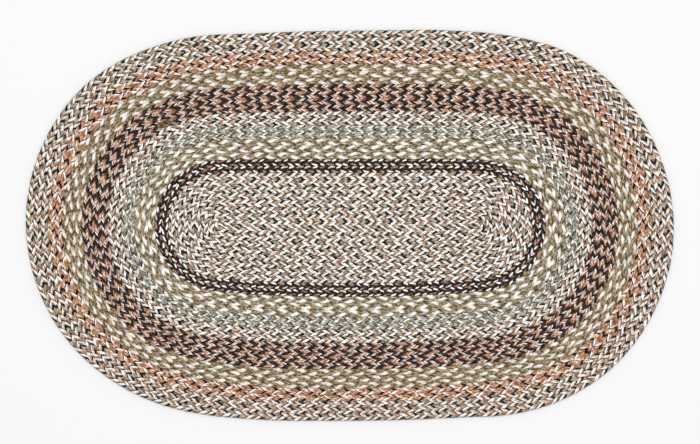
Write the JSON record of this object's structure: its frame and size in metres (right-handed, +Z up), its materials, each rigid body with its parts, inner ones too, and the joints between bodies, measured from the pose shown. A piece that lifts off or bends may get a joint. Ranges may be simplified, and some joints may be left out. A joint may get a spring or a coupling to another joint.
{
  "type": "braided rug",
  "caption": "Flat oval rug of multi-coloured braids sewn edge to edge in concentric rings, lying flat on a floor.",
  "frame": {"origin": "middle of the flat underside, on the floor", "axes": "+X along the rug's long side, +Y across it, +Z up"},
  "size_m": [1.1437, 0.6899, 0.007],
  "materials": {
    "braid": "coarse jute and cotton braid, mixed colours",
    "multi_braid": "jute and cotton braid, white, grey-green, black and terracotta",
    "dark_braid": "jute and cotton braid, black with light flecks",
    "olive_braid": "jute and cotton braid, olive and white",
    "grey_braid": "jute and cotton braid, grey-green with white",
    "black_terracotta_braid": "jute and cotton braid, black and terracotta",
    "terracotta_braid": "jute and cotton braid, terracotta, white and black"
  },
  "bodies": {
    "root": {"rug": "braid"}
  },
  "joints": []
}
